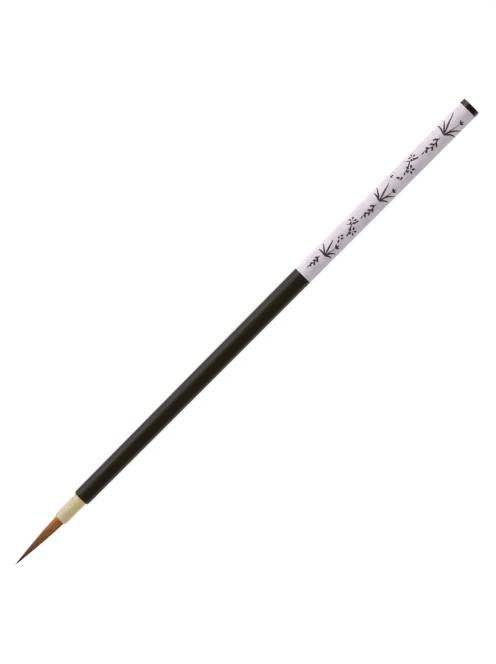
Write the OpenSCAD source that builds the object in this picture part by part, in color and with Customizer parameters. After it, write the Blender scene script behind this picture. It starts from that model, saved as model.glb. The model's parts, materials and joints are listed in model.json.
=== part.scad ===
// Small calligraphy brush for fine script, lying on its side along X.
// It is built along its own axis from the hair tip, then laid down, so a
// "station" below is a distance in millimetres from the tip of the hair.

/* [Overall] */
// Length from the hair tip to the top end
brush_length = 200; // [170:1:250]

/* [Hair tuft] */
// Length of hair that shows in front of the ferrule
tuft_out = 19.5; // [16:0.5:26]
// Radius of the tuft where it leaves the ferrule
tuft_root_r = 1.7; // [1.4:0.05:2.1]
// Fullness of the tuft: 1 is a plain cone, 2 is the roundest ogive
fullness = 1.57; // [1.2:0.01:1.9]
// Radius left at the very point
tip_r = 0.03; // [0.02:0.01:0.06]
// Radius of the core hair as a share of the tuft's radius
core_share = 0.6; // [0.45:0.05:0.7]
// Where the belly bends, as a share of the tuft counted from the tip
belly_share = 0.795; // [0.76:0.005:0.81]
// Where the throat bends, as a share of the tuft counted from the tip
throat_share = 0.565; // [0.53:0.005:0.6]
// Where the life hair lifts, as a share of the tuft counted from the tip
life_share = 0.345; // [0.32:0.005:0.37]
// Where the point bends, as a share of the tuft counted from the tip
point_share = 0.185; // [0.15:0.005:0.2]
// Clearance between a bending zone's round top and the hollow it turns in
bend_gap = 0.08; // [0.06:0.01:0.1]
// Height of a hollow's rim over the bend's centre, as a share of the round top's radius
rim_share = 0.58; // [0.56:0.01:0.65]

/* [Tied root] */
// Length of the tied root bundle
bundle_len = 3.4; // [2.4:0.1:4.2]
// How much slimmer the bundle is than the tuft
bundle_inset = 0.08; // [0.05:0.01:0.12]
// Radius of the linen binding thread
thread_r = 0.1; // [0.06:0.01:0.14]
// Turns of the binding thread
thread_turns = 4; // [2:1:5]
// Spacing of the turns as a share of the thread's thickness
thread_pitch_share = 0.95; // [0.85:0.01:0.98]
// Slack round the bound thread
thread_slack = 0.02; // [0.01:0.01:0.04]
// Thickness of the resin that seals the root
seal_t = 0.6; // [0.3:0.1:0.9]
// Thickness of the glue behind the seal
glue_t = 0.5; // [0.3:0.1:0.8]

/* [Ferrule] */
// Length of ferrule that shows between the hair and the shaft
ferrule_out = 9.2; // [7.6:0.1:12]
// Wall of the ferrule round the hair
ferrule_wall = 0.525; // [0.4:0.025:0.65]
// Gap round the hair in the ferrule's mouth
hair_gap = 0.02; // [0.01:0.01:0.05]
// Width of the flat lip round the mouth
mouth_lip = 0.12; // [0.08:0.01:0.2]
// Length of the mouth's rounding along the brush
mouth_round = 1.2; // [0.6:0.1:2]
// Thickness of the web behind the hair's bore
ferrule_web = 1.2; // [0.8:0.1:1.8]
// Radius of the vent through the spigot
vent_r = 1; // [0.6:0.05:1.2]

/* [Shaft] */
// Radius of the shaft at its lower end
shaft_low_r = 2.855; // [2.7:0.005:3.1]
// Radius of the shaft at its top end
shaft_top_r = 3.245; // [3.15:0.005:3.8]
// Length over which the lower end stays straight before it swells
straight_len = 6.3; // [4:0.1:20]
// Length of the lower end's rounding along the brush
shaft_round = 1.2; // [0.6:0.1:2]
// Rim of the shaft's end face that shows round the ferrule
face_rim = 0.075; // [0.05:0.005:0.1]
// Radius of the spigots on the ferrule and on the end plug
spigot_r = 1.75; // [1.5:0.01:1.95]
// Length of the ferrule's spigot
ferrule_spigot_len = 9.5; // [6:0.5:14]
// Depth of the shaft's ledge between its bore and a spigot's socket
socket_step = 0.27; // [0.1:0.01:0.4]
// Spare depth of a socket past the end of its spigot
socket_spare = 0.5; // [0.3:0.1:2]
// Glue film round a spigot
glue_gap = 0.02; // [0.01:0.005:0.04]

/* [Paper wrap] */
// Length of shaft that the paper covers
wrap_len = 72.1; // [50:0.1:90]
// Thickness of the paper
wrap_t = 0.08; // [0.06:0.01:0.12]
// How far the paper stands proud of the lacquer
wrap_proud = 0.012; // [0.01:0.002:0.03]
// Angle over which the paper laps over itself
lap_angle = 24; // [15:1:40]
// Angle from the underside to where the lap starts
lap_start = 38; // [30:1:60]

/* [End plug] */
// Length of plug that shows
plug_len = 1.9; // [1.2:0.1:4]
// How far the plug's side lies inside the shaft's
plug_inset = 0.012; // [0:0.002:0.05]
// Rounding of the plug's outer edge
plug_round = 0.22; // [0.1:0.01:0.4]
// Length of the plug's spigot
plug_spigot_len = 7; // [5:0.5:12]

/* [Hidden] */
$fn = 64;

// Cuts run this far past the faces they open.
past = 1;
// Number of straight steps in a short rounding, a hair zone and the shaft's swell.
round_steps = 8;
zone_steps = 6;
swell_steps = 12;
// Bevel that leads a spigot into its socket.
lead_in = 0.25;

// Stations along the brush.
mouth_at = tuft_out;
shaft_low_at = mouth_at + ferrule_out;
shaft_top_at = brush_length - plug_len;
wrap_low_at = shaft_top_at - wrap_len;
swell_at = shaft_low_at + straight_len;
bore_end_at = shaft_low_at - ferrule_web;
glue_at = bore_end_at - glue_t;
seal_at = glue_at - seal_t;
bundle_at = seal_at - bundle_len;
belly_at = belly_share * tuft_out;
throat_at = throat_share * tuft_out;
life_at = life_share * tuft_out;
point_at = point_share * tuft_out;

// Radii that follow from what fits in what.
ferrule_bore_r = tuft_root_r + hair_gap;
ferrule_r = ferrule_bore_r + ferrule_wall;
shaft_face_r = ferrule_r + face_rim;
socket_r = spigot_r + glue_gap;
shaft_bore_r = socket_r - socket_step;
bundle_r = tuft_root_r - bundle_inset;
neck_r = bundle_r - 2 * thread_r - thread_slack;
plug_r = shaft_top_r - plug_inset;
wrap_seat = wrap_t - wrap_proud;
// The brush rests on its widest part, so its axis lies this high.
rest_r = shaft_top_r + wrap_proud;

thread_pitch = 2 * thread_r * thread_pitch_share;
thread_width = (thread_turns - 1) * thread_pitch + 2 * thread_r;

// Radius of the tuft at a station. Inside the ferrule it stays as wide as at the mouth.
function tuft_r(at) =
    let (t = min(at, tuft_out) / tuft_out)
    max(tip_r, tuft_root_r * (fullness * t - (fullness - 1) * t * t));

// Radius of the finished handle at a station: straight, then an even swell to the top.
function handle_r(at) =
    let (u = max(0, (at - swell_at) / (brush_length - swell_at)))
    shaft_low_r + (shaft_top_r - shaft_low_r) * (1 - (1 - u) * (1 - u));

// Height of the rim of the hollow that holds the bend at a station.
function rim_at(bend) = bend + rim_share * tuft_r(bend);

// Outline of the tuft, or of a share of its radius, from one station to another.
function tuft_line(from, to, share = 1, steps = zone_steps) =
    [for (i = [0:steps]) let (at = from + (to - from) * i / steps) [share * tuft_r(at), at]];

// Outline of the handle's surface, sunk by a depth, from one station to another.
function handle_line(from, to, sunk = 0, steps = swell_steps) =
    [for (i = [0:steps]) let (at = from + (to - from) * i / steps) [handle_r(at) - sunk, at]];

// Quarter round from a face of radius r at a station, out by dr and along by dz.
function round_line(r, at, dr, dz) =
    [for (i = [0:round_steps]) let (turn = 90 * i / round_steps)
        [r + dr * sin(turn), at + dz * (1 - cos(turn))]];

// Lays the brush down along +X with its underside on the ground.
module lay_down()
    translate([-brush_length / 2, 0, rest_r]) rotate([0, 90, 0]) children();

// A turned solid between an outline and the axis.
module turned(line)
    rotate_extrude()
        polygon(concat([[0, line[0][1]]], line, [[0, line[len(line) - 1][1]]]));

// A round bore or pin from one station to another.
module rod(r, from, to)
    translate([0, 0, from]) cylinder(r = r, h = to - from);

// The rounded root end of a bending zone.
module half_ball(bend)
    translate([0, 0, bend]) rotate_extrude()
        intersection() {
            circle(r = tuft_r(bend));
            square(2 * tuft_r(bend));
        }

// The space in which the next zone's round top turns.
module hollow(bend)
    translate([0, 0, bend]) sphere(r = tuft_r(bend) + bend_gap);

// All the hair of the zone from its own bend down to the hollow of the next one.
module bending_zone(bend, next_bend)
    difference() {
        union() {
            half_ball(bend);
            turned(tuft_line(rim_at(next_bend), bend));
        }
        hollow(next_bend);
    }

// All the hair that stays still: from the first hollow back into the ferrule.
module still_zone()
    difference() {
        turned(concat(tuft_line(rim_at(belly_at), mouth_at), [[tuft_root_r, bundle_at]]));
        hollow(belly_at);
    }

// The core runs down the middle of the zones between two stations.
module core(from, to)
    turned(tuft_line(from, to, core_share));

module core_of_zone(bend, next_bend)
    intersection() {
        bending_zone(bend, next_bend);
        core(next_bend, bend + 2 * tuft_r(bend));
    }

module cover_of_zone(bend, next_bend)
    difference() {
        bending_zone(bend, next_bend);
        core(next_bend, bend + 2 * tuft_r(bend));
    }

// A spigot with a bevelled end, pointing up the brush or down it.
module spigot(from, to) {
    way = sign(to - from);
    translate([0, 0, from]) mirror([0, 0, way < 0 ? 1 : 0])
        turned([[spigot_r, 0], [spigot_r, abs(to - from) - lead_in],
            [spigot_r - lead_in, abs(to - from)]]);
}

module handle_shaft()
    color([0.16, 0.145, 0.11])
    lay_down()
        difference() {
            turned(concat(
                round_line(shaft_face_r, shaft_low_at, shaft_low_r - shaft_face_r, shaft_round),
                handle_line(swell_at, wrap_low_at),
                handle_line(wrap_low_at, shaft_top_at, wrap_seat)));
            rod(shaft_bore_r, shaft_low_at - past, shaft_top_at + past);
            rod(socket_r, shaft_low_at - past,
                shaft_low_at + ferrule_spigot_len + socket_spare);
            rod(socket_r, shaft_top_at - plug_spigot_len - socket_spare,
                shaft_top_at + past);
        }

module washi_wrap()
    color([0.83, 0.79, 0.84])
    lay_down() {
        rotate_extrude()
            polygon(concat(
                handle_line(wrap_low_at, shaft_top_at, -wrap_proud),
                handle_line(shaft_top_at, wrap_low_at, wrap_seat)));
        rotate([0, 0, lap_start]) rotate_extrude(angle = lap_angle)
            polygon(concat(
                handle_line(wrap_low_at, shaft_top_at, -wrap_proud - wrap_t),
                handle_line(shaft_top_at, wrap_low_at, wrap_seat / 2)));
    }

module end_plug()
    color([0.14, 0.125, 0.1])
    lay_down() {
        translate([0, 0, brush_length]) mirror([0, 0, 1])
            turned(concat(round_line(plug_r - plug_round, 0, plug_round, plug_round),
                [[plug_r, plug_len]]));
        spigot(shaft_top_at, shaft_top_at - plug_spigot_len);
    }

module ferrule()
    color([0.9, 0.87, 0.75])
    lay_down()
        difference() {
            union() {
                turned(concat(
                    round_line(ferrule_bore_r + mouth_lip, mouth_at,
                        ferrule_wall - mouth_lip, mouth_round),
                    [[ferrule_r, shaft_low_at]]));
                spigot(shaft_low_at, shaft_low_at + ferrule_spigot_len);
            }
            rod(ferrule_bore_r, mouth_at - past, bore_end_at);
            rod(vent_r, bore_end_at - past, shaft_low_at + ferrule_spigot_len + past);
        }

// Glue fills the bore round the tied root and behind its seal.
module ferrule_glue()
    color([0.78, 0.62, 0.35])
    lay_down()
        difference() {
            rod(ferrule_bore_r, bundle_at, bore_end_at);
            rod(bundle_r, bundle_at - past, glue_at);
        }

// The tied root narrows to a neck where the thread pulls it in.
module root_bundle()
    color([0.5, 0.32, 0.17])
    lay_down() {
        middle = (bundle_at + seal_at) / 2;
        half = thread_width / 2 + thread_slack;
        slope = bundle_r - neck_r;
        turned([[bundle_r, bundle_at], [bundle_r, middle - half - slope],
            [neck_r, middle - half], [neck_r, middle + half],
            [bundle_r, middle + half + slope], [bundle_r, seal_at]]);
    }

module binding_thread()
    color([0.88, 0.83, 0.7])
    lay_down() {
        first = (bundle_at + seal_at - thread_width) / 2 + thread_r;
        rotate_extrude()
            for (turn = [0:thread_turns - 1])
                translate([neck_r + thread_r + thread_slack / 2, first + turn * thread_pitch])
                    circle(r = thread_r);
    }

module root_seal()
    color([0.25, 0.15, 0.08])
    lay_down() rod(bundle_r, seal_at, glue_at);

module waist_core_hair()
    color([0.45, 0.27, 0.13])
    lay_down()
        intersection() {
            still_zone();
            core(belly_at, bundle_at + past);
        }

module waist_cover_hair()
    color([0.58, 0.37, 0.2])
    lay_down()
        difference() {
            still_zone();
            core(belly_at, bundle_at + past);
        }

module belly_core_hair()
    color([0.44, 0.26, 0.12]) lay_down() core_of_zone(belly_at, throat_at);

module belly_cover_hair()
    color([0.55, 0.35, 0.19]) lay_down() cover_of_zone(belly_at, throat_at);

module throat_core_hair()
    color([0.43, 0.25, 0.12]) lay_down() core_of_zone(throat_at, life_at);

module throat_cover_hair()
    color([0.52, 0.32, 0.17]) lay_down() cover_of_zone(throat_at, life_at);

module life_hair()
    color([0.48, 0.29, 0.15]) lay_down() bending_zone(life_at, point_at);

module point_hair()
    color([0.4, 0.23, 0.12])
    lay_down() {
        half_ball(point_at);
        turned(tuft_line(0, point_at));
    }

handle_shaft();
washi_wrap();
end_plug();
ferrule();
ferrule_glue();
root_bundle();
binding_thread();
root_seal();
waist_core_hair();
waist_cover_hair();
belly_core_hair();
belly_cover_hair();
throat_core_hair();
throat_cover_hair();
life_hair();
point_hair();
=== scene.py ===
"""Models the looks of a small writing brush round its CAD frame.

The brush lies along X with its hair towards -X. A "station" is a distance in millimetres from
the hair's tip along the brush, and a "turn" is an angle round its axis, from the underside
towards +Y.
"""

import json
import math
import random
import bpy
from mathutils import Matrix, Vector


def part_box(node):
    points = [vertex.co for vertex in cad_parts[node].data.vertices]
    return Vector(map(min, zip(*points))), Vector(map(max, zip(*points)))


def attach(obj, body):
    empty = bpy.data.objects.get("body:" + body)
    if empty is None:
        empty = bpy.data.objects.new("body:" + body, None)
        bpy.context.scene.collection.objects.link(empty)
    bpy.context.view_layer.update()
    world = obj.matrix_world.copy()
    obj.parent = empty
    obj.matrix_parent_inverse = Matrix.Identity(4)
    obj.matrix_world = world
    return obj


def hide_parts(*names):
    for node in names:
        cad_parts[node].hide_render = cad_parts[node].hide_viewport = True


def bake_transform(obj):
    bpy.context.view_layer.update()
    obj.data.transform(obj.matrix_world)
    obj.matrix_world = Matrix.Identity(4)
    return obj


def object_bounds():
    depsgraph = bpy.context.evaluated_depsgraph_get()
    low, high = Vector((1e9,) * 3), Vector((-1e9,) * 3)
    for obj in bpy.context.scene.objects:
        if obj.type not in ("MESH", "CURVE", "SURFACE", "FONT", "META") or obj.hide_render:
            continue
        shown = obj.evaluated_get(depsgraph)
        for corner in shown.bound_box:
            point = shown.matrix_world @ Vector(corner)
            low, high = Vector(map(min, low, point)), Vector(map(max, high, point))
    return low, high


bl_info = {
    "name": "Small writing brush",
    "version": (1, 0, 0),
    "blender": (4, 5, 0),
    "location": "View3D > Sidebar > Writing brush",
    "description": "Makes a brush for fine script: hair, ferrule, lacquered shaft and paper wrap",
    "category": "Object",
}

import bpy
from bpy.props import FloatProperty, FloatVectorProperty, IntProperty, PointerProperty
from mathutils import Vector

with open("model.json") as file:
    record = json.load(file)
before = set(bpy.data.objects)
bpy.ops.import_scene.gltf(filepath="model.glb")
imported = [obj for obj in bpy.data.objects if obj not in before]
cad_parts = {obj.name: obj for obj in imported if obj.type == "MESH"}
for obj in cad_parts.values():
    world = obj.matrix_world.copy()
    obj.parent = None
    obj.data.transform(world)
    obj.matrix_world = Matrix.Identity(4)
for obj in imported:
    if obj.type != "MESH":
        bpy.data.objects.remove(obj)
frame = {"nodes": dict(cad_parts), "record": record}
CAD_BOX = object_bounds()

MM = 0.001
SEED = 17

# Where the CAD puts everything, in metres.
TIP_X = CAD_BOX[0][0]
FERRULE_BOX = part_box("ferrule")
SHAFT_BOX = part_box("handle_shaft")
WRAP_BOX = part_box("washi_wrap")
PLUG_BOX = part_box("end_plug")
GLUE_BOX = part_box("ferrule_glue")
TUFT_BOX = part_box("waist_cover_hair")
PIVOTS = {joint["name"]: joint["pos_m"] for joint in frame["record"]["behaviour"]["joints"]}
AXIS_Z = PIVOTS["belly_bend"][2]


def radius_of(box):
    """Largest radius of a round node, from its box."""
    return (box[1][1] - box[0][1]) / 2


def station_of(x):
    """Distance in millimetres from the hair's tip to a place along X."""
    return (x - TIP_X) / MM


MOUTH = station_of(FERRULE_BOX[0][0])


def linear(colour):
    """An sRGB hex colour as linear red, green, blue and alpha."""
    parts = [int(colour[i : i + 2], 16) / 255 for i in (1, 3, 5)]
    return (*(p / 12.92 if p <= 0.04045 else ((p + 0.055) / 1.055) ** 2.4 for p in parts), 1.0)


def size(name, description, default_mm):
    """A length property with its default in millimetres."""
    return FloatProperty(
        name=name, description=description, default=default_mm * MM, min=0, unit="LENGTH", precision=5
    )


def angle(name, description, default_deg):
    """An angle property with its default in degrees."""
    return FloatProperty(
        name=name, description=description, default=math.radians(default_deg), subtype="ANGLE"
    )


def colour(name, description, default):
    """A colour property with its default as an sRGB hex value."""
    return FloatVectorProperty(
        name=name, description=description, default=linear(default), size=4, min=0, max=1, subtype="COLOR"
    )


class HandleSizes(bpy.types.PropertyGroup):
    """Sizes of the shaft, the ferrule, the end plug and the paper."""

    low_radius: size("Low radius", "Radius of the shaft at its lower end", 2.855)
    top_radius: size("Top radius", "Radius of the shaft at its top end", 3.245)
    straight: size("Straight length", "Length before the shaft starts to swell", 6.3)
    low_round: size("Low rounding", "Rounding of the shaft's lower end along the brush", 1.2)
    face_rim: size("Face rim", "Rim of the shaft's end face round the ferrule", 0.075)
    spigot: size("Spigot radius", "Radius of the spigots in the shaft's two sockets", 1.75)
    glue_gap: size("Glue gap", "Glue film round a spigot", 0.02)
    ledge: size("Ledge", "Step from a socket down to the shaft's bore", 0.27)
    spare: size("Spare depth", "Depth of a socket past the end of its spigot", 0.5)
    vent: size("Vent radius", "Radius of the vent through the ferrule's spigot", 1.0)
    mouth_lip: size("Mouth lip", "Flat lip round the ferrule's mouth", 0.12)
    mouth_round: size("Mouth rounding", "Rounding of the ferrule's mouth along the brush", 1.2)
    web: size("Web", "Thickness of the ferrule behind the hair's bore", 1.2)
    plug_round: size("Plug rounding", "Rounding of the end plug's outer edge", 0.22)
    plug_dish: size("Plug dish", "Depth of the turned dish in the plug's end face", 0.05)
    bevel: size("Bevel", "Small bevel that breaks each other edge", 0.04)
    lead_in: size("Lead-in", "Bevel on the end of a spigot", 0.25)
    paper: size("Paper thickness", "Thickness of the wrapped paper", 0.08)
    paper_proud: size("Paper proud", "How far the paper stands over the lacquer", 0.012)
    ripple: size("Paper ripple", "Unevenness of the glued paper", 0.004)
    ink: size("Ink thickness", "How far the ink stands over the paper", 0.012)
    lap_start: angle("Lap start", "Turn at which the paper starts", 38)
    lap: angle("Lap", "Angle over which the paper covers its own start", 24)
    climb: angle("Climb", "Angle in which the paper rises onto its own start", 5)


class TuftSizes(bpy.types.PropertyGroup):
    """Shape and hairs of the tuft."""

    fullness: FloatProperty(
        name="Fullness",
        description="1 is a plain cone, 2 is the roundest point",
        default=1.57,
        min=1.01,
        max=2,
    )
    hairs: IntProperty(name="Hairs", description="Number of cover hairs modelled", default=520, min=20)
    hair_radius: size("Hair radius", "Radius of one cover hair at its thickest", 0.05)
    layer: size("Layer depth", "Depth over which the cover hairs lie", 0.16)
    locks: IntProperty(name="Locks", description="Number of locks of hair", default=24, min=1)
    groove: size("Groove depth", "Depth of the grooves between locks of hair", 0.05)
    taper: size("Taper", "Length over which a hair thins to its end", 5)
    wander: angle("Wander", "How far a lock strays round the tuft", 5)
    inside: size("Inside length", "Length of hair modelled inside the ferrule's mouth", 2.5)
    # Painted light: the hairs on the side towards the key light are given paler tones, palest at the turn
    # below.
    painted_light: FloatProperty(name="Bleach", description="How much paler one side of the tuft is", default=0.11)
    painted_light_turn: angle("Bleach turn", "Turn at which the tuft is palest", 95)
    tip_radius: size("Tip radius", "Radius of the bunch of hairs near the tip", 0.26)
    tip_rounding: size("Tip rounding", "Length over which the tip comes to its point", 1.6)


class Colours(bpy.types.PropertyGroup):
    """Colours of the finishes."""

    lacquer: colour("Lacquer", "Satin lacquer of the shaft", "#1A1506")
    grain: colour("Lacquer grain", "Wood grain that shows through the lacquer", "#231C0E")
    worn: colour("Lacquer worn", "Lacquer rubbed thin at the shaft's lower edge", "#3A2C18")
    plug: colour("Plug", "Polished lacquer of the end plug", "#120F0A")
    # Painted shade and light on the ferrule: milky is its colour darkened for the side towards the key light,
    # and resin is its colour brightened for the shaded side.
    resin: colour("Ferrule", "Cast resin of the ferrule", "#CEBC8A")
    milky: colour("Ferrule, milky", "Milkier side of the resin", "#AFA991")
    honey: colour("Ferrule, honey", "Warmer clouds in the resin", "#C5A670")
    paper: colour("Paper", "Lilac of the paper", "#CCC5CA")
    cloud: colour("Paper cloud", "Paler clouds in the paper", "#D2CCD1")
    patch: colour("Paper patch", "Purple patches in the paper", "#BBA6BC")
    fibre: colour("Fibre", "Long fibres in the paper", "#DFD8DE")
    ink: colour("Ink", "Brushed ink of the ornament", "#3A302B")
    ink_dry: colour("Ink, dry", "Ink where the brush ran dry", "#5A4E50")
    hair_dark: colour("Hair, dark", "Darkest cover hairs", "#6B3B11")
    hair_light: colour("Hair, light", "Lightest cover hairs", "#D08A3D")
    hair_tip: colour("Hair, tip", "Cover hair at the point", "#502611")
    linen: colour("Linen", "Thread that ties the root", "#C9BE9E")
    linen_pale: colour("Linen, pale", "High places of the thread's ply", "#E6DFC8")
    seared: colour("Seared", "Seared ends of the root", "#241509")
    seared_pale: colour("Seared, pale", "Glassy specks on the seared ends", "#5A3A1C")
    glue: colour("Glue", "Amber glue behind the root", "#B58A45")
    glue_pale: colour("Glue, pale", "Clouded patches in the glue", "#D9B978")
    board: colour("Board", "Opal board of the floor", "#858585")
    board_pale: colour("Board, pale", "Paler grain of the board", "#8C8C8C")


class Studio(bpy.types.PropertyGroup):
    """Camera, lights and floor."""

    distance: FloatProperty(
        name="Camera distance", description="From the brush to the camera", default=2.3, unit="LENGTH"
    )
    frame_height: size("Frame height", "Height of the frame at the brush", 205.15)
    lean: angle("Lean", "Angle of the brush in the frame", 45.16)
    aside: FloatVectorProperty(
        name="Aside",
        description="Middle of the brush from the middle of the frame, as shares of the frame's height",
        default=(-0.0069, -0.0049),
        size=2,
    )
    key: FloatProperty(name="Key light", description="Strength of the low soft light", default=3.4)
    key_tilt: angle("Key tilt", "Key light's angle from straight above", 74)
    top: FloatProperty(name="Top light", description="Strength of the even light from above", default=1.5)
    zenith: FloatProperty(name="Room, above", description="Strength of the light from above", default=0.12)
    horizon: FloatProperty(name="Room, low", description="Strength of the light from low down", default=0.3)


# ---------------------------------------------------------------- shapes


def handle_radius(x):
    """Radius of the finished handle at a place along X: straight, then an even swell."""
    sizes = bpy.context.scene.brush_handle
    swell_x = SHAFT_BOX[0][0] + sizes.straight
    u = max(0.0, (x - swell_x) / (CAD_BOX[1][0] - swell_x))
    return sizes.low_radius + (sizes.top_radius - sizes.low_radius) * (1 - (1 - u) ** 2)


def paper_radius(x, turn):
    """Radius of the paper's face, a little uneven as glued paper is."""
    sizes = bpy.context.scene.brush_handle
    at = station_of(x)
    wave = math.sin(0.83 * at + 2 * turn) * math.sin(0.29 * at - 3 * turn)
    return handle_radius(x) + sizes.paper_proud + sizes.ripple * (wave - 1)


def tuft_radius(at):
    """Radius of the tuft at a station: a full cone, whose tip is as wide as a bunch of fine hairs."""
    sizes = bpy.context.scene.brush_tuft
    share = min(1.0, max(0.0, at / MOUTH))
    cone = radius_of(TUFT_BOX) * (sizes.fullness * share - (sizes.fullness - 1) * share * share)
    # At its very end the bunch is a quarter as wide, and it rounds out from there.
    blunt, blunt_squared = 0.24, 0.06
    rounding = math.sqrt(min(1.0, blunt_squared + at * MM / sizes.tip_rounding)) if at > 0 else blunt
    return math.hypot(cone, sizes.tip_radius * rounding * (1 - share))


def station_where(share):
    """The station at which the tuft has that share of its full radius."""
    full = bpy.context.scene.brush_tuft.fullness
    return MOUTH * (full - math.sqrt(full * full - 4 * (full - 1) * share)) / (2 * (full - 1))


def on_brush(x, radius, turn):
    """The point at a place along X, a radius from the axis and a turn from the underside."""
    return Vector((x, radius * math.sin(turn), AXIS_Z - radius * math.cos(turn)))


def spread(first, last, step):
    """Places from first to last, evenly spaced by about step."""
    count = max(1, round(abs(last - first) / step))
    return [first + (last - first) * i / count for i in range(count + 1)]


def quarter(x, radius, dx, dr, steps=12):
    """Quarter round that leaves a face at a radius: out by dr while it goes along by dx."""
    bends = [math.pi / 2 * i / steps for i in range(steps + 1)]
    return [(x + dx * (1 - math.cos(a)), radius + dr * math.sin(a)) for a in bends]


def make_object(name, points, faces, material, crease_deg=32):
    """A mesh object with smooth faces that stay sharp at its real edges."""
    mesh = bpy.data.meshes.new(name)
    mesh.from_pydata(points, [], faces)
    mesh.validate()
    mesh.materials.append(material)
    mesh.shade_smooth()
    mesh.set_sharp_from_angle(angle=math.radians(crease_deg))
    made = bpy.data.objects.new(name, mesh)
    bpy.context.scene.collection.objects.link(made)
    return made


def turned(name, outline, material, facets=112):
    """Turns an outline of (x, radius) points about the brush's axis.

    An outline that starts and ends on the axis closes there, and any other closes on itself.
    """
    points, rings = [], []
    for x, radius in outline:
        count = 1 if radius == 0 else facets
        rings.append([len(points) + i for i in range(count)])
        points += [on_brush(x, radius, math.tau * i / facets) for i in range(count)]
    if outline[0][1] != 0:
        rings.append(rings[0])
    faces = []
    for one, two in zip(rings, rings[1:]):
        for i in range(facets):
            j = (i + 1) % facets
            corners = [one[i % len(one)], one[j % len(one)], two[j % len(two)], two[i % len(two)]]
            faces.append(list(dict.fromkeys(corners)))
    return make_object(name, points, faces, material)


def join_rings(points, faces, rings):
    """Adds a tube through rings of points, closed at both ends."""
    first, sides = len(points), len(rings[0])
    for ring in rings:
        points.extend(ring)
    for row in range(first, len(points) - sides, sides):
        faces += [
            [row + i, row + (i + 1) % sides, row + sides + (i + 1) % sides, row + sides + i]
            for i in range(sides)
        ]
    faces.append(list(reversed(range(first, first + sides))))
    faces.append(list(range(len(points) - sides, len(points))))


# ---------------------------------------------------------------- materials

# Sockets of a Mix node: its share, two colours and their mix, and two plain values.
SHARE, ONE, TWO, MIXED = 0, 6, 7, 2
ONE_VALUE, TWO_VALUE = 2, 3


def add_node(tree, kind, inputs=None, out=0, **settings):
    """Adds a node and returns one of its outputs, or nothing if out is None.

    inputs gives each input, by name or number, a value or an output to link from.
    """
    node = tree.nodes.new("ShaderNode" + kind)
    for name, value in settings.items():
        setattr(node, name, value)
    for socket, value in (inputs or {}).items():
        if isinstance(value, bpy.types.NodeSocket):
            tree.links.new(value, node.inputs[socket])
        else:
            node.inputs[socket].default_value = value
    return None if out is None else node.outputs[out]


def per_mm(width):
    """The texture scale at which one feature is about this many millimetres wide."""
    return 1 / (width * MM)


def start_material(name, **values):
    """A new material with its shader's own values set.

    Returns it, its node tree, its shader's inputs, the object's coordinates and the brush's colours.
    """
    made = bpy.data.materials.new(name)
    made.use_nodes = True
    tree = made.node_tree
    tree.nodes.clear()
    shader = add_node(tree, "BsdfPrincipled", {key.replace("_", " "): v for key, v in values.items()})
    add_node(tree, "OutputMaterial", {"Surface": shader}, out=None)
    place = add_node(tree, "TexCoord", out="Object")
    return made, tree, shader.node.inputs, place, bpy.context.scene.brush_colours


def coat(tree, shader, body, pattern, low, high, height, strength, depth_mm):
    """Gives a surface its colour, a roughness that follows a pattern from low to high, and its bumps."""
    tree.links.new(body, shader["Base Color"])
    dull = add_node(
        tree, "MapRange", {"Value": pattern, "From Min": 0.3, "From Max": 0.7, "To Min": low, "To Max": high}
    )
    tree.links.new(dull, shader["Roughness"])
    bump = add_node(tree, "Bump", {"Strength": strength, "Distance": depth_mm * MM, "Height": height})
    tree.links.new(bump, shader["Normal"])


def rubbed_lacquer():
    """Rubbed brown-black lacquer over turned wood: a broad soft sheen, with faint grain along it."""
    made, tree, shader, place, tones = start_material(
        "rubbed_lacquer_on_wood",
        IOR=1.5,
        Metallic=0.0,
        Specular_IOR_Level=0.22,
        Specular_Tint=(1.0, 0.93, 0.92, 1.0),
    )
    drawn_out = add_node(tree, "VectorMath", {0: place, 1: (0.03, 1, 1)}, operation="MULTIPLY")
    # Grain lines 0.1 mm wide are drawn 0.3 mm wide, so that they show.
    grain = add_node(
        tree, "TexNoise", {"Vector": drawn_out, "Scale": per_mm(0.3), "Detail": 6, "Roughness": 0.6}
    )
    dust = add_node(tree, "TexNoise", {"Vector": place, "Scale": per_mm(0.16), "Detail": 3})
    cloud = add_node(tree, "TexNoise", {"Vector": place, "Scale": per_mm(9), "Detail": 2})
    lines = add_node(tree, "MapRange", {"Value": grain, "From Min": 0.42, "From Max": 0.68})
    body = add_node(
        tree, "Mix", {SHARE: lines, ONE: tones.lacquer, TWO: tones.grain}, MIXED, data_type="RGBA"
    )
    # The rounded lower edge is handled most, and the lacquer there is rubbed thin in spots.
    x, low_x = add_node(tree, "SeparateXYZ", {0: place}), SHAFT_BOX[0][0]
    edge = add_node(
        tree,
        "MapRange",
        {"Value": x, "From Min": low_x, "From Max": low_x + 1.4 * MM, "To Min": 1, "To Max": 0},
    )
    chips = add_node(tree, "MapRange", {"Value": dust, "From Min": 0.52, "From Max": 0.62})
    worn = add_node(tree, "Math", {0: edge, 1: chips}, operation="MULTIPLY")
    body = add_node(tree, "Mix", {SHARE: worn, ONE: body, TWO: tones.worn}, MIXED, data_type="RGBA")
    height = add_node(tree, "Math", {0: grain, 1: dust}, operation="ADD")
    coat(tree, shader, body, cloud, 0.34, 0.42, height, strength=0.5, depth_mm=0.004)
    return made


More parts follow.
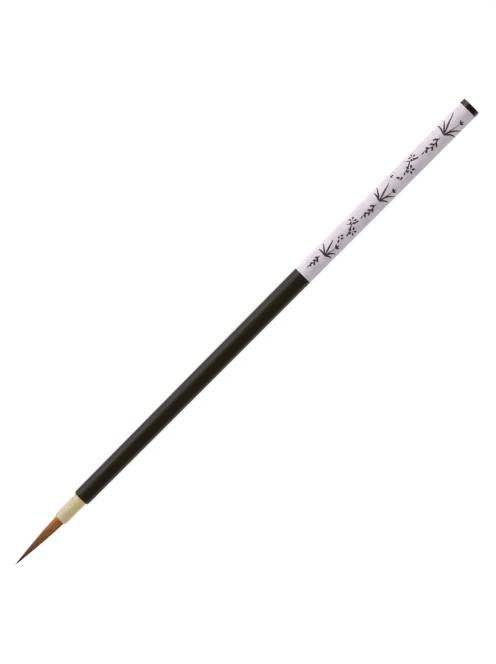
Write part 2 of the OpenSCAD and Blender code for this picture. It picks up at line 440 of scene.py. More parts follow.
def polished_lacquer():
    """Polished black lacquer on the turned plug: a crisper sheen, with the lathe's fine rings."""
    made, tree, shader, place, tones = start_material(
        "polished_lacquer_on_plug", IOR=1.5, Metallic=0.0, Specular_IOR_Level=0.28
    )
    centred = add_node(tree, "VectorMath", {0: place, 1: (0, 0, -AXIS_Z)}, operation="ADD")
    # The lathe's rings, 0.05 mm apart, are drawn 0.4 mm apart, so that they show.
    rings = add_node(
        tree,
        "TexWave",
        {"Vector": centred, "Scale": per_mm(0.4) / math.tau, "Distortion": 0.6, "Detail": 2.0},
        wave_type="RINGS",
        rings_direction="X",
    )
    spots = add_node(tree, "TexNoise", {"Vector": place, "Scale": per_mm(0.6), "Detail": 4})
    specks = add_node(tree, "MapRange", {"Value": spots, "From Min": 0.45, "From Max": 0.7})
    body = add_node(tree, "Mix", {SHARE: specks, ONE: tones.plug, TWO: tones.grain}, MIXED, data_type="RGBA")
    coat(tree, shader, body, spots, 0.22, 0.32, rings, strength=0.25, depth_mm=0.003)
    return made


def cast_resin():
    """Cast ivory-coloured resin, turned and buffed: waxy, with faint streaks, and painted darker and milkier
    on the side towards the key light as painted shade, and warmer and brighter on the far side as painted
    light.
    """
    made, tree, shader, place, tones = start_material(
        "cast_resin_turned_and_buffed",
        IOR=1.54,
        Metallic=0.0,
        Specular_IOR_Level=0.45,
        Subsurface_Weight=0.2,
        Subsurface_Scale=1.0 * MM,
        Subsurface_Radius=(1.0, 0.9, 0.7),
    )
    drawn_out = add_node(tree, "VectorMath", {0: place, 1: (0.14, 1, 1)}, operation="MULTIPLY")
    streak = add_node(
        tree, "TexNoise", {"Vector": drawn_out, "Scale": per_mm(0.7), "Detail": 3, "Distortion": 0.4}
    )
    cloud = add_node(tree, "TexNoise", {"Vector": place, "Scale": per_mm(2.4), "Detail": 3})
    streak = add_node(
        tree, "MapRange", {"Value": streak, "From Min": 0.3, "From Max": 0.7, "To Min": -0.3, "To Max": 0.3}
    )
    # Painted shade and light: the side towards the key light (+Y) takes the darker, milkier colour and the
    # shaded side the brighter resin colour, blended along the streaks.
    y = add_node(tree, "SeparateXYZ", {0: place}, out="Y")
    side = add_node(tree, "MapRange", {"Value": y, "From Min": -0.6 * MM, "From Max": 2.0 * MM})
    pale = add_node(tree, "Math", {0: side, 1: streak}, operation="ADD", use_clamp=True)
    body = add_node(tree, "Mix", {SHARE: pale, ONE: tones.resin, TWO: tones.milky}, MIXED, data_type="RGBA")
    warm = add_node(tree, "MapRange", {"Value": cloud, "From Min": 0.46, "From Max": 0.75, "To Max": 0.4})
    body = add_node(tree, "Mix", {SHARE: warm, ONE: body, TWO: tones.honey}, MIXED, data_type="RGBA")
    # The buffed lathe marks run round the ferrule.
    round_it = add_node(tree, "VectorMath", {0: place, 1: (1, 0.05, 0.05)}, operation="MULTIPLY")
    marks = add_node(tree, "TexNoise", {"Vector": round_it, "Scale": per_mm(0.15), "Detail": 2})
    coat(tree, shader, body, cloud, 0.4, 0.48, marks, strength=0.35, depth_mm=0.003)
    return made


def curled_line(tree, value, middle, width):
    """A thin line where a noise passes its middle, as a long fibre curls through paper."""
    off = add_node(tree, "Math", {0: value, 1: middle}, operation="SUBTRACT")
    off = add_node(tree, "Math", {0: off}, operation="ABSOLUTE")
    return add_node(tree, "MapRange", {"Value": off, "From Max": width, "To Min": 1, "To Max": 0})


def mulberry_paper():
    """Dyed mulberry paper, laid by hand: matte and clouded, with long curling fibres that stand up."""
    made, tree, shader, place, tones = start_material(
        "dyed_mulberry_paper_hand_laid", IOR=1.45, Metallic=0.0, Specular_IOR_Level=0.25, Sheen_Weight=0.05
    )
    cloud = add_node(tree, "TexNoise", {"Vector": place, "Scale": per_mm(5.5), "Detail": 3})
    patch = add_node(
        tree,
        "TexNoise",
        {"Vector": place, "Scale": per_mm(2.2), "Detail": 5, "Roughness": 0.65, "Distortion": 0.6},
    )
    tooth = add_node(
        tree, "TexNoise", {"Vector": place, "Scale": per_mm(0.14), "Detail": 3, "Roughness": 0.7}
    )
    pale = add_node(tree, "MapRange", {"Value": cloud, "From Min": 0.35, "From Max": 0.68})
    body = add_node(tree, "Mix", {SHARE: pale, ONE: tones.paper, TWO: tones.cloud}, MIXED, data_type="RGBA")
    dyed = add_node(tree, "MapRange", {"Value": patch, "From Min": 0.48, "From Max": 0.72, "To Max": 0.75})
    body = add_node(tree, "Mix", {SHARE: dyed, ONE: body, TWO: tones.patch}, MIXED, data_type="RGBA")
    # Fibres 0.03 mm thick are drawn about 0.08 mm wide, so that they show.
    loose = add_node(
        tree, "TexNoise", {"Vector": place, "Scale": per_mm(3.2), "Detail": 1.5, "Distortion": 1.2}
    )
    fibre = curled_line(tree, loose, 0.5, 0.012)
    light = add_node(tree, "Math", {0: fibre, 1: 0.6}, operation="MULTIPLY")
    body = add_node(tree, "Mix", {SHARE: light, ONE: body, TWO: tones.fibre}, MIXED, data_type="RGBA")
    deep = add_node(
        tree, "TexNoise", {"Vector": place, "Scale": per_mm(2.1), "Detail": 1.2, "Distortion": 2.0}
    )
    dark = add_node(tree, "Math", {0: curled_line(tree, deep, 0.43, 0.008), 1: 0.35}, operation="MULTIPLY")
    body = add_node(tree, "Mix", {SHARE: dark, ONE: body, TWO: tones.patch}, MIXED, data_type="RGBA")
    height = add_node(tree, "Math", {0: fibre, 1: 0.8, 2: tooth}, operation="MULTIPLY_ADD")
    coat(tree, shader, body, tooth, 0.72, 0.9, height, strength=0.7, depth_mm=0.012)
    return made


def carbon_ink():
    """Carbon ink brushed on paper and dried: dull black, greyer where the brush ran dry."""
    made, tree, shader, place, tones = start_material(
        "carbon_ink_brushed_and_dried", IOR=1.5, Metallic=0.0, Specular_IOR_Level=0.3
    )
    dry = add_node(tree, "TexNoise", {"Vector": place, "Scale": per_mm(0.35), "Detail": 4, "Roughness": 0.7})
    grey = add_node(tree, "MapRange", {"Value": dry, "From Min": 0.45, "From Max": 0.8, "To Max": 0.5})
    body = add_node(
        tree, "Mix", {SHARE: grey, ONE: tones.ink, TWO: tones.ink_dry}, MIXED, data_type="RGBA"
    )
    coat(tree, shader, body, dry, 0.5, 0.75, dry, strength=0.5, depth_mm=0.006)
    return made


def combed_hair(name):
    """Combed brown animal hair, set with starch: each hair has its own tone, darker towards the point."""
    made, tree, shader, place, tones = start_material(name, IOR=1.55, Metallic=0.0, Specular_IOR_Level=0.25)
    tone = add_node(tree, "Attribute", out="Fac", attribute_name="tone")
    drawn_out = add_node(tree, "VectorMath", {0: place, 1: (0.1, 1, 1)}, operation="MULTIPLY")
    bands = add_node(
        tree, "TexNoise", {"Vector": drawn_out, "Scale": per_mm(0.25), "Detail": 4, "Roughness": 0.6}
    )
    part = add_node(
        tree, "MapRange", {"Value": bands, "From Min": 0.3, "From Max": 0.75, "To Min": 0.5, "To Max": 1.2}
    )
    light = add_node(tree, "Math", {0: tone, 1: part}, operation="MULTIPLY", use_clamp=True)
    body = add_node(
        tree, "Mix", {SHARE: light, ONE: tones.hair_dark, TWO: tones.hair_light}, MIXED, data_type="RGBA"
    )
    x = add_node(tree, "SeparateXYZ", {0: place})
    point = add_node(
        tree,
        "MapRange",
        {"Value": x, "From Min": TIP_X + 2 * MM, "From Max": TIP_X + 17 * MM, "To Min": 0.95, "To Max": 0},
    )
    body = add_node(tree, "Mix", {SHARE: point, ONE: body, TWO: tones.hair_tip}, MIXED, data_type="RGBA")
    coat(tree, shader, body, bands, 0.38, 0.5, bands, strength=0.4, depth_mm=0.008)
    return made


def twisted_linen():
    """Twisted linen thread: matte and pale, with its ply slanting round it."""
    made, tree, shader, place, tones = start_material(
        "twisted_linen_thread", IOR=1.45, Metallic=0.0, Roughness=0.85, Specular_IOR_Level=0.2
    )
    ply = add_node(
        tree,
        "TexWave",
        {"Vector": place, "Scale": per_mm(0.2) / math.tau, "Distortion": 1.0},
        bands_direction="DIAGONAL",
    )
    body = add_node(
        tree, "Mix", {SHARE: ply, ONE: tones.linen, TWO: tones.linen_pale}, MIXED, data_type="RGBA"
    )
    tree.links.new(body, shader["Base Color"])
    bump = add_node(tree, "Bump", {"Strength": 0.6, "Distance": 0.02 * MM, "Height": ply})
    tree.links.new(bump, shader["Normal"])
    return made


def seared_root():
    """Hair ends seared with resin: nearly black and rough, with glassy specks."""
    made, tree, shader, place, tones = start_material(
        "hair_ends_seared_in_resin", IOR=1.5, Metallic=0.0, Specular_IOR_Level=0.4
    )
    specks = add_node(
        tree, "TexNoise", {"Vector": place, "Scale": per_mm(0.15), "Detail": 4, "Roughness": 0.7}
    )
    clear = add_node(tree, "MapRange", {"Value": specks, "From Min": 0.4, "From Max": 0.7})
    body = add_node(
        tree, "Mix", {SHARE: clear, ONE: tones.seared, TWO: tones.seared_pale}, MIXED, data_type="RGBA"
    )
    coat(tree, shader, body, specks, 0.7, 0.3, specks, strength=0.8, depth_mm=0.03)
    return made


def set_glue():
    """Set amber glue: glossy and a little see-through, with clouded patches."""
    made, tree, shader, place, tones = start_material(
        "set_amber_glue",
        IOR=1.5,
        Metallic=0.0,
        Roughness=0.15,
        Subsurface_Weight=0.3,
        Subsurface_Scale=0.5 * MM,
    )
    cloud = add_node(tree, "TexNoise", {"Vector": place, "Scale": per_mm(0.7), "Detail": 3})
    milky = add_node(tree, "MapRange", {"Value": cloud, "From Min": 0.35, "From Max": 0.7})
    body = add_node(
        tree, "Mix", {SHARE: milky, ONE: tones.glue, TWO: tones.glue_pale}, MIXED, data_type="RGBA"
    )
    tree.links.new(body, shader["Base Color"])
    bump = add_node(tree, "Bump", {"Strength": 0.4, "Distance": 0.02 * MM, "Height": cloud})
    tree.links.new(bump, shader["Normal"])
    return made


def lit_board():
    """White opal board lit from below, as a table for small goods is: nearly free of shadow."""
    made, tree, shader, place, tones = start_material(
        "opal_board_lit_from_below",
        Roughness=0.9,
        Specular_IOR_Level=0.1,
        Emission_Color=(1, 1, 1, 1),
        Emission_Strength=0.85,
    )
    tooth = add_node(tree, "TexNoise", {"Vector": place, "Scale": per_mm(1.5), "Detail": 3})
    body = add_node(
        tree, "Mix", {SHARE: tooth, ONE: tones.board, TWO: tones.board_pale}, MIXED, data_type="RGBA"
    )
    tree.links.new(body, shader["Base Color"])
    return made


# ---------------------------------------------------------------- handle


class WRITING_BRUSH_OT_add_shaft(bpy.types.Operator):
    """Adds the turned and lacquered shaft with its two sockets"""

    bl_idname = "writing_brush.add_shaft"
    bl_label = "Add shaft"

    def execute(self, context):
        sizes = context.scene.brush_handle
        low, top, paper_x = SHAFT_BOX[0][0], SHAFT_BOX[1][0], WRAP_BOX[0][0]
        face = radius_of(FERRULE_BOX) + sizes.face_rim
        socket = sizes.spigot + sizes.glue_gap
        bore = socket - sizes.ledge
        seat = sizes.paper - sizes.paper_proud
        ferrule_socket = FERRULE_BOX[1][0] + sizes.spare
        plug_socket = PLUG_BOX[0][0] - sizes.spare
        edge = sizes.bevel
        outline = quarter(low, face, sizes.low_round, sizes.low_radius - face, 14)
        outline += [(x, handle_radius(x)) for x in spread(low + sizes.straight, paper_x - edge, 3 * MM)]
        outline += [(paper_x, handle_radius(paper_x) - edge)]
        outline += [(x, handle_radius(x) - seat) for x in spread(paper_x, top - edge, 4 * MM)]
        outline += [(top, handle_radius(top) - seat - edge), (top, socket + edge), (top - edge, socket)]
        outline += [(plug_socket, socket), (plug_socket, bore), (ferrule_socket, bore)]
        outline += [(ferrule_socket, socket), (low + edge, socket), (low, socket + edge)]
        made = turned("shaft", outline, rubbed_lacquer())
        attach(made, "handle")
        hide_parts("handle_shaft")
        return {"FINISHED"}


class WRITING_BRUSH_OT_add_plug(bpy.types.Operator):
    """Adds the end plug with its dished face, rounded edge and spigot"""

    bl_idname = "writing_brush.add_plug"
    bl_label = "Add end plug"

    def execute(self, context):
        sizes = context.scene.brush_handle
        shoulder, end, tail = SHAFT_BOX[1][0], PLUG_BOX[1][0], PLUG_BOX[0][0]
        radius, edge, dish = radius_of(PLUG_BOX), sizes.plug_round, sizes.plug_dish
        rim = 0.78 * radius
        outline = [(end - dish, 0)]
        outline += [(end - dish * (1 - (r / rim) ** 2), r) for r in spread(rim / 6, rim, rim / 6)]
        outline += quarter(end, radius - edge, -edge, edge)
        outline += [(shoulder + sizes.bevel, radius), (shoulder, radius - sizes.bevel)]
        outline += [(shoulder, sizes.spigot), (tail + sizes.lead_in, sizes.spigot)]
        outline += [(tail, sizes.spigot - sizes.lead_in), (tail, 0)]
        made = turned("end_plug_turned", outline, polished_lacquer())
        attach(made, "handle")
        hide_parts("end_plug")
        return {"FINISHED"}


class WRITING_BRUSH_OT_add_ferrule(bpy.types.Operator):
    """Adds the ferrule: rounded mouth, bore for the hair, shoulder and vented spigot"""

    bl_idname = "writing_brush.add_ferrule"
    bl_label = "Add ferrule"

    def execute(self, context):
        sizes = context.scene.brush_handle
        mouth, shoulder, tail = FERRULE_BOX[0][0], SHAFT_BOX[0][0], FERRULE_BOX[1][0]
        radius, bore, edge = radius_of(FERRULE_BOX), radius_of(GLUE_BOX), sizes.bevel
        lip = bore + sizes.mouth_lip
        outline = [(mouth + edge, bore), (mouth, bore + edge)]
        outline += quarter(mouth, lip, sizes.mouth_round, radius - lip, 16)
        outline += [(x, radius) for x in spread(mouth + 2 * sizes.mouth_round, shoulder - edge, 1 * MM)]
        outline += [(shoulder, radius - edge), (shoulder, sizes.spigot)]
        outline += [(tail - sizes.lead_in, sizes.spigot), (tail, sizes.spigot - sizes.lead_in)]
        outline += [(tail, sizes.vent), (shoulder - sizes.web, sizes.vent), (shoulder - sizes.web, bore)]
        made = turned("ferrule_turned", outline, cast_resin())
        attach(made, "handle")
        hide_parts("ferrule")
        return {"FINISHED"}


class WRITING_BRUSH_OT_add_wrap(bpy.types.Operator):
    """Adds the paper: one sheet wound round the shaft, with its free edge lapped over its start"""

    bl_idname = "writing_brush.add_wrap"
    bl_label = "Add paper wrap"

    def execute(self, context):
        sizes = context.scene.brush_handle
        turns = spread(0, math.tau + sizes.lap, math.radians(2.5))
        points, faces, rings = [], [], []
        for x in spread(WRAP_BOX[0][0], WRAP_BOX[1][0], 0.75 * MM):
            outside, inside = [], []
            for turn in turns:
                lift = min(1.0, max(0.0, (turn - math.tau + sizes.climb) / sizes.climb))
                radius = paper_radius(x, turn) + lift * lift * (3 - 2 * lift) * sizes.paper
                outside.append(on_brush(x, radius, sizes.lap_start + turn))
                inside.append(on_brush(x, radius - sizes.paper, sizes.lap_start + turn))
            rings.append(outside + inside[::-1])
        join_rings(points, faces, rings)
        made = make_object("paper_wrap", points, faces, mulberry_paper())
        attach(made, "handle")
        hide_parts("washi_wrap")
        return {"FINISHED"}


# ---------------------------------------------------------------- ornament

# Millimetres between two points of a stroke.
STROKE_STEP = 0.18
# Lean, curl and share of the plant's length of each leaf of an orchid.
ORCHID_LEAVES = (
    (-0.7, -0.9, 0.55),
    (-0.3, -0.7, 0.85),
    (0.1, 0.5, 1.05),
    (0.45, 0.9, 0.75),
    (0.8, 1.3, 0.5),
)


def stroke(at, across, heading, length, curl, sway, width, press=0.35):
    """One stroke of an ink brush, as (station, across, half width) points in millimetres.

    It bends by curl over its length and by sway there and back, is widest at press and narrows
    to about a third at its ends. across is measured round the paper from the row's middle line.
    """
    points, steps, narrow = [], max(10, round(length / STROKE_STEP)), 0.35
    for i in range(steps + 1):
        t = i / steps
        body = math.sqrt(t / press) if t < press else ((1 - t) / (1 - press)) ** 0.6
        points.append((at, across, width / 2 * (narrow + (1 - narrow) * body)))
        way = heading + curl * t + sway * math.sin(math.tau * t)
        at += length / steps * math.cos(way)
        across += length / steps * math.sin(way)
    return points


def orchid(draw, at, across, length, side):
    """A tuft of long leaves that bow outwards, and a flower of three petals on a thin stalk."""
    foot = at - length
    for lean, curl, reach in ORCHID_LEAVES:
        start = across + 0.35 * side * lean
        lean += draw.uniform(-0.12, 0.12)
        reach *= length * draw.uniform(0.9, 1.1)
        yield stroke(foot, start, side * lean, reach, side * curl, 0.12, 0.66, 0.4)
    stalk = stroke(foot, across, -0.28 * side, 0.85 * length, 0.1 * side, 0, 0.32, 0.3)
    yield stalk
    for lean in (-1, 0, 1):
        yield stroke(*stalk[-1][:2], 0.95 * lean - 0.2 * side, 1.25, -0.5 * lean, 0, 0.62, 0.6)


def leafy_sprig(draw, at, across, length, side):
    """A gently swaying stem with leaves on both sides and one at its end."""
    stem = stroke(at, across, math.pi - 0.25 * side, length, 0.35 * side, 0.35 * side, 0.45, 0.25)
    yield stem
    for i in range(6):
        place = stem[round((0.14 + 0.14 * i) * (len(stem) - 1))][:2]
        side = -side
        lean = side * draw.uniform(0.75, 1.05)
        yield stroke(*place, math.pi + lean, (0.26 - 0.02 * i) * length, -0.5 * side, 0, 0.78, 0.55)
    yield stroke(*stem[-1][:2], math.pi + 0.2 * side, 0.16 * length, 0, 0, 0.5, 0.5)


def blossom(draw, at, across, width):
    """Five round petals about a dot."""
    start = draw.uniform(0, 1)
    for i in range(5):
        way = start + math.tau * i / 5
        place = at + 0.35 * width * math.cos(way), across + 0.35 * width * math.sin(way)
        yield stroke(*place, way - 0.75, 0.85 * width, 1.7, 0, 0.6 * width, 0.6)
    yield stroke(at - 0.12, across, 0, 0.3, 0, 0, 0.3, 0.5)


def plum_spray(draw, at, across, length, side):
    """A crooked twig with two open blossoms, a spur and a bud."""
    low = stroke(at, across, math.pi + 0.5 * side, 0.5 * length, -0.3 * side, 0.2, 0.62, 0.2)
    high = stroke(*low[-2][:2], math.pi - 0.6 * side, 0.6 * length, 0.4 * side, 0, 0.52, 0.2)
    yield from (low, high)
    yield stroke(*low[-2][:2], math.pi + 0.9 * side, 0.3 * length, 0.3, 0, 0.4, 0.2)
    for twig, lean, width in ((low, -1, 1.15), (high, 1, 1.3)):
        middle = twig[len(twig) // 2]
        yield from blossom(draw, middle[0], middle[1] + lean * side, width)
    yield stroke(*high[-1][:2], math.pi, 0.8, 1.4, 0, 0.65, 0.5)


def petals(draw, at, across, length, _side):
    """A few loose petals on the wind, leaning to neither side."""
    for i in range(4):
        place = at - 0.5 * length * i / 4, across + draw.uniform(-1.6, 1.6)
        way, reach, curl = draw.uniform(2.2, 4), draw.uniform(0.8, 1.3), draw.uniform(-1.5, 1.5)
        yield stroke(*place, way, reach, curl, 0, 0.7, 0.5)


def lay_stroke(points, faces, line, round_turn):
    """Lays one stroke on the paper as a thin closed film with feathered edges."""
    sizes = bpy.context.scene.brush_handle
    lift, rings = sizes.ink, []
    section = ((-1, -lift / 2), (-0.7, lift), (0, 1.6 * lift), (0.7, lift), (1, -lift / 2))
    for i, (at, across, half) in enumerate(line):
        before, after = line[max(0, i - 1)], line[min(len(line) - 1, i + 1)]
        way = Vector((after[0] - before[0], after[1] - before[1])).normalized()
        ring = []
        for side, height in section:
            x = TIP_X + (at - way.y * half * side) * MM
            turn = round_turn - (across + way.x * half * side) * MM / handle_radius(x)
            ring.append(on_brush(x, paper_radius(x, turn - sizes.lap_start) + height, turn))
        rings.append(ring)
    join_rings(points, faces, rings)


class WRITING_BRUSH_OT_add_ornament(bpy.types.Operator):
    """Adds the plants brushed on the paper: orchids, leafy sprigs, plum sprays and petals, no writing"""

    bl_idname = "writing_brush.add_ornament"
    bl_label = "Add ink ornament"

    def execute(self, context):
        draw = random.Random(SEED)
        low, top = station_of(WRAP_BOX[0][0]), station_of(WRAP_BOX[1][0])
        # Each kind of plant, with the room that it takes as a share of its length.
        kinds = ((orchid, 1.1), (leafy_sprig, 1.2), (plum_spray, 1.1), (petals, 0.6))
        top_margin, low_margin, shortest, growth = 3.5, 6, 4.4, 3.0
        points, faces = [], []
        # One row of plants along the upper line and a sparser one along the underside.
        for round_turn, gap, number in ((math.pi, 0.6, 0), (0.15, 4.0, 2)):
            at = top - top_margin
            while at > low + low_margin:
                kind, room = kinds[number % len(kinds)]
                length = shortest + growth * (at - low) / (top - low)
                side = (-1) ** (number // 2)
                for line in kind(draw, at, draw.uniform(-0.9, 0.6), length, side):
                    lay_stroke(points, faces, line, round_turn)
                at -= room * length + gap * draw.uniform(0.6, 1.4)
                number += 1
        made = make_object("ink_ornament", points, faces, carbon_ink())
        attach(made, "handle")
        return {"FINISHED"}


# ---------------------------------------------------------------- hair


def comb_hairs():
    """Every cover hair: its turn, its depth, the station where it ends and its tone, lock by lock."""
    sizes = bpy.context.scene.brush_tuft
    draw = random.Random(SEED)
    locks = [
        {
            "turn": math.tau * (i + draw.uniform(-0.4, 0.4)) / sizes.locks,
            "reach": draw.uniform(0.08, 0.22),
            "lift": (-1) ** i * draw.uniform(0.2, 0.65),
        }
        for i in range(sizes.locks)
    ]
    golden = math.pi * (3 - math.sqrt(5))
    middle_tone = 0.42
    # A prime that scatters long and short hairs evenly round the tuft.
    scatter = 997
    hairs = []
    for i in range(sizes.hairs):
        turn = i * golden % math.tau
        # Painted light: a hair's tone is raised on the side towards the key light, on top of its random and
        # lock tones.
        tone = middle_tone + draw.uniform(-0.2, 0.2) + sizes.painted_light * math.cos(turn - sizes.painted_light_turn)
        sunk = 0.0
        for lock in locks:
            off = (turn - lock["turn"] + math.pi) % math.tau - math.pi
            near = math.exp(-((off / lock["reach"]) ** 2))
            tone += lock["lift"] * near
            sunk += max(0.0, -lock["lift"]) * near
        hairs.append(
            {
                "turn": turn,
                "tone": min(1.0, max(0.0, tone)),
                "sunk": min(1.0, 2 * sunk),
                "depth": draw.random() ** 1.5,
                # Hairs run out evenly as the tuft narrows, so the surface stays covered.
                "end": station_where(0.02 + 0.97 * ((i + 0.5) / sizes.hairs * scatter % 1.0)),
                "phase": 1.8 * math.sin(2 * turn + 0.6) + 1.1 * math.sin(5 * turn) + draw.uniform(-0.5, 0.5),
                "stray": draw.gauss(0, 0.35) + math.sin(3 * turn),
                "thick": draw.uniform(0.75, 1.15),
            }
        )
    return hairs


def hair_ring(hair, at, sides=5):
    """The ring of points round one hair at a station."""
    sizes = bpy.context.scene.brush_tuft
    free = max(0.0, 1 - at / MOUTH)
    run = max(0.0, at - hair["end"]) * MM / sizes.taper
    outer = tuft_radius(at)
    radius = sizes.hair_radius * hair["thick"] * min(1.0, 0.2 + 0.8 * run**0.6)
    radius = min(radius, 0.4 * outer + 0.01 * MM)
    depth = min(sizes.layer * hair["depth"] + sizes.groove * hair["sunk"], 0.5 * outer)
    # A hair that is about to run out tucks in under its neighbours.
    reach = max(0.0, outer - depth - radius) * (1 - 0.05 * max(0.0, 1 - 2.5 * run))
    turn = hair["turn"] + sizes.wander * hair["stray"] * free * math.sin(0.31 * at + hair["phase"])
    middle = on_brush(TIP_X + at * MM, reach, turn)
    out = Vector((0, math.sin(turn), -math.cos(turn)))
    side = Vector((0, math.cos(turn), math.sin(turn)))
    bends = [math.tau * i / sides for i in range(sides)]
    return [middle + radius * (out * math.cos(a) + side * math.sin(a)) for a in bends]


def hair_length(name, high, low, hairs):
    """One length of the tuft between two stations: its core, and every hair that passes through."""
    sizes = bpy.context.scene.brush_tuft
    # Millimetres between rings, which lie closer together near the tip.
    step = 0.45 if low > 4 else 0.35
    core_sides, core_tone, shortest = 48, 0.1, 0.3
    points, faces, tones, rings = [], [], [], []
    for at in spread(high, low, step / 2):
        outer = tuft_radius(at)
        reach = outer - min(sizes.layer + sizes.groove, 0.3 * outer)
        rings.append([on_brush(TIP_X + at * MM, reach, math.tau * i / core_sides) for i in range(core_sides)])
    join_rings(points, faces, rings)
    tones += [core_tone] * len(points)
    for hair in hairs:
        if hair["end"] < high - shortest:
            rings = [hair_ring(hair, at) for at in spread(high, max(low, hair["end"]), step)]
            join_rings(points, faces, rings)
            tones += [hair["tone"]] * (len(points) - len(tones))
    made = make_object(name, points, faces, combed_hair(name + "_combed_hair"), crease_deg=65)
    made.data.attributes.new("tone", "FLOAT", "POINT").data.foreach_set("value", tones)
    return made


class WRITING_BRUSH_OT_add_tuft(bpy.types.Operator):
    """Adds the tuft: four lengths of combed hair, each round one joint and cut halfway to the next"""

    bl_idname = "writing_brush.add_tuft"
    bl_label = "Add hair tuft"

    def execute(self, context):
        lengths = (
            ("tuft_belly", "handle", "belly", "belly_bend", ("waist_core_hair", "waist_cover_hair")),
            ("tuft_throat", "belly", "throat", "throat_bend", ("belly_core_hair", "belly_cover_hair")),
            ("tuft_life", "throat", "life", "life_lift", ("throat_core_hair", "throat_cover_hair")),
            ("tuft_point", "life", "point", "point_bend", ("life_hair", "point_hair")),
        )
        bends = [station_of(PIVOTS[joint][0]) for _, _, _, joint, _ in lengths]
        halfway = [(one + two) / 2 for one, two in zip(bends, bends[1:])]
        cuts = [MOUTH + context.scene.brush_tuft.inside / MM, *halfway, 0.0]
        hairs = comb_hairs()
        for number, (name, still, moving, joint, nodes) in enumerate(lengths):
            high, low = cuts[number], cuts[number + 1]
            made = hair_length(name, high, low, hairs)
            pivot = Vector(PIVOTS[joint])
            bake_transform(made)
            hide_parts(*nodes)
        return {"FINISHED"}


class WRITING_BRUSH_OT_finish_inside(bpy.types.Operator):
    """Gives the tied root, its thread, seal and glue their finishes"""

    bl_idname = "writing_brush.finish_inside"
    bl_label = "Finish the tied root"

    def execute(self, context):
        finishes = {
            "root_bundle": combed_hair("tied_root_hair"),
            "binding_thread": twisted_linen(),
            "root_seal": seared_root(),
            "ferrule_glue": set_glue(),
        }
        for node, finish in finishes.items():
            for slot in frame["nodes"][node].material_slots:
                slot.material = finish
        return {"FINISHED"}


# ---------------------------------------------------------------- studio


def soft_light(name, strength, tilt, heading, width):
    """A soft light from far off: tilt from straight above, heading round from +X, and its width."""
    data = bpy.data.lights.new(name, "SUN")
    data.energy, data.angle = strength, width
    made = bpy.data.objects.new(name, data)
    made.location = (
        math.sin(tilt) * math.cos(heading),
        math.sin(tilt) * math.sin(heading),
        math.cos(tilt),
    )
    made.rotation_euler = made.location.to_track_quat("Z", "Y").to_euler()
    bpy.context.scene.collection.objects.link(made)
    return made


def room_light(zenith, horizon):
    """Even grey light from all round, brighter low down, where the pale walls stand."""
    world = bpy.data.worlds.new("room")
    world.use_nodes = True
    tree = world.node_tree
    tree.nodes.clear()
    way = add_node(tree, "SeparateXYZ", {0: add_node(tree, "TexCoord", out="Generated")}, out="Z")
    glow = add_node(
        tree, "MapRange", {"Value": way, "From Min": 0, "From Max": 0.8, "To Min": horizon, "To Max": zenith}
    )
    # The backdrop itself is white.
    seen = add_node(tree, "LightPath", out="Is Camera Ray")
    glow = add_node(tree, "Mix", {SHARE: seen, ONE_VALUE: glow, TWO_VALUE: 1.0})
    light = add_node(tree, "Background", {"Strength": glow, "Color": (1, 1, 1, 1)})
    add_node(tree, "OutputWorld", {"Surface": light}, out=None)
    return world


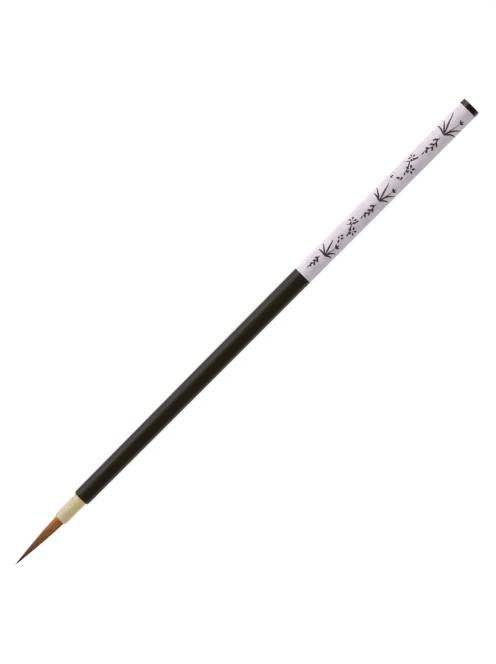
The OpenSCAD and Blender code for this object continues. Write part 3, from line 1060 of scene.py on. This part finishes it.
class WRITING_BRUSH_OT_add_studio(bpy.types.Operator):
    """Adds the pale floor, the soft lights and the camera above the brush"""

    bl_idname = "writing_brush.add_studio"
    bl_label = "Add studio"

    def execute(self, context):
        scene, studio = context.scene, context.scene.brush_studio
        side, gap = 30.0, 0.02 * MM
        corners = [(-side, -side, 0), (side, -side, 0), (side, side, 0), (-side, side, 0)]
        floor = make_object("floor", corners, [[0, 1, 2, 3]], lit_board())
        floor.location.z = CAD_BOX[0][2] - gap
        soft_light("key_light", studio.key, studio.key_tilt, heading=math.radians(90), width=math.radians(66))
        top_tilt, top_heading, top_width = math.radians(18), math.radians(-90), math.radians(80)
        top = soft_light("top_light", studio.top, top_tilt, top_heading, top_width)
        top.visible_glossy = False
        scene.world = room_light(studio.zenith, studio.horizon)
        scene.view_settings.view_transform = "Standard"
        lens = bpy.data.cameras.new("camera")
        lens.lens = lens.sensor_width * studio.distance / studio.frame_height
        lens.clip_end = 100.0
        camera = bpy.data.objects.new("camera", lens)
        camera.rotation_euler = (0, 0, -studio.lean)
        right = Vector((math.cos(studio.lean), -math.sin(studio.lean), 0))
        up = Vector((math.sin(studio.lean), math.cos(studio.lean), 0))
        middle = Vector(((CAD_BOX[0][0] + CAD_BOX[1][0]) / 2, 0, AXIS_Z + studio.distance))
        camera.location = middle - (right * studio.aside[0] + up * studio.aside[1]) * studio.frame_height
        scene.collection.objects.link(camera)
        scene.camera = camera
        return {"FINISHED"}


class WRITING_BRUSH_PT_sidebar(bpy.types.Panel):
    """Lists the brush's pieces in the order in which they are made, and their settings"""

    bl_idname = "WRITING_BRUSH_PT_sidebar"
    bl_label = "Writing brush"
    bl_space_type = "VIEW_3D"
    bl_region_type = "UI"
    bl_category = "Writing brush"

    def draw(self, context):
        for step in STEPS:
            self.layout.operator(step.bl_idname)
        for group, kind in GROUPS.items():
            box = self.layout.box()
            for name in kind.__annotations__:
                box.prop(getattr(context.scene, group), name)


GROUPS = {
    "brush_handle": HandleSizes,
    "brush_tuft": TuftSizes,
    "brush_colours": Colours,
    "brush_studio": Studio,
}
STEPS = (
    WRITING_BRUSH_OT_add_studio,
    WRITING_BRUSH_OT_add_shaft,
    WRITING_BRUSH_OT_add_plug,
    WRITING_BRUSH_OT_add_ferrule,
    WRITING_BRUSH_OT_add_wrap,
    WRITING_BRUSH_OT_add_ornament,
    WRITING_BRUSH_OT_add_tuft,
    WRITING_BRUSH_OT_finish_inside,
)
CLASSES = (*GROUPS.values(), *STEPS, WRITING_BRUSH_PT_sidebar)


def register():
    """Registers the classes and puts their settings on the scene."""
    for one in CLASSES:
        bpy.utils.register_class(one)
    for name, group in GROUPS.items():
        setattr(bpy.types.Scene, name, PointerProperty(type=group))


def unregister():
    """Takes the settings and the classes away again."""
    for name in GROUPS:
        delattr(bpy.types.Scene, name)
    for one in reversed(CLASSES):
        bpy.utils.unregister_class(one)


def main():
    """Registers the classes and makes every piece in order."""
    register()
    for step in STEPS:
        group, name = step.bl_idname.split(".")
        getattr(getattr(bpy.ops, group), name)()


if __name__ == "__main__":
    main()
